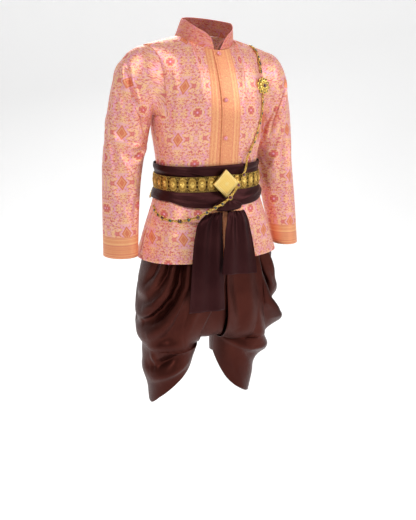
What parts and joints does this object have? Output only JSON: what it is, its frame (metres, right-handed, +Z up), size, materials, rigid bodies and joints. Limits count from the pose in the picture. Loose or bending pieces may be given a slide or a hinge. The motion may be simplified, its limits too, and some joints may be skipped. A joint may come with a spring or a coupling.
{
  "type": "chut thai formal set",
  "caption": "Thai formal set as worn, with no wearer: brocade stand-collar jacket, draped satin chong kraben trousers, waist sash, gilt belt with diamond buckle, and jewelled body chain.",
  "frame": {"origin": "middle of the neck opening, level with the neck ends of the shoulder seams, where the wearer's shoulders carry the jacket", "axes": "+Z up, -Y the way the wearer faces, +X the wearer's left"},
  "size_m": [0.7134, 0.337, 1.2838],
  "materials": {
    "brocade": "salmon silk brocade with woven pink and cream figures",
    "trouser_satin": "red-brown satin, soft sheen",
    "sash_satin": "dark brown satin, soft sheen",
    "gold": "gilt openwork, some stones red and green"
  },
  "bodies": {
    "root": {"jacket_front_right": "brocade", "jacket_front_left": "brocade", "jacket_back": "brocade", "sleeve_right": "brocade", "sleeve_left": "brocade", "collar": "brocade", "button_top": "brocade", "button_upper": "brocade", "button_lower": "brocade", "trousers_right": "trouser_satin", "trousers_left": "trouser_satin", "trousers_roll": "trouser_satin", "trousers_waistband": "trouser_satin", "sash_upper": "sash_satin", "sash_lower": "sash_satin", "sash_knot": "sash_satin", "sash_tail_long": "sash_satin", "sash_tail_short": "sash_satin", "belt": "gold", "buckle": "gold", "brooch": "gold", "chain_shoulder": "gold", "chain_chest": "gold", "chain_hip": "gold", "chain_back": "gold"}
  },
  "joints": []
}
